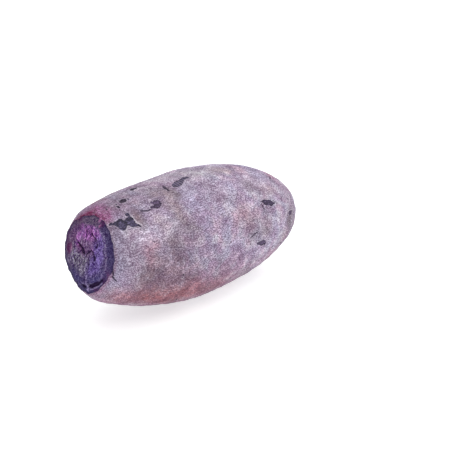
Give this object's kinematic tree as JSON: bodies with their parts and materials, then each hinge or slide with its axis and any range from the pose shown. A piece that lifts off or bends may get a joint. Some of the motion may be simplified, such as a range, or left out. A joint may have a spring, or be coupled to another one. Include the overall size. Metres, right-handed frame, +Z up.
{
  "type": "purple yam",
  "caption": "Plump purple root vegetable with a rounded tip and a dried, slanting cut at the other end, lying on its side on a small flat spot.",
  "frame": {"origin": "centre of the footprint of the bounding box, on the surface the yam lies on", "axes": "+Z up; +X along the length, from the dried cut at -X to the root tip at +X; -Y is the side shown in the picture"},
  "size_m": [0.154, 0.0684, 0.0667],
  "materials": {
    "skin": "matte, thin papery root skin, mottled grey lilac with slate flakes; dark violet dried flesh at the cut"
  },
  "bodies": {
    "root": {"yam": "skin"}
  },
  "joints": []
}
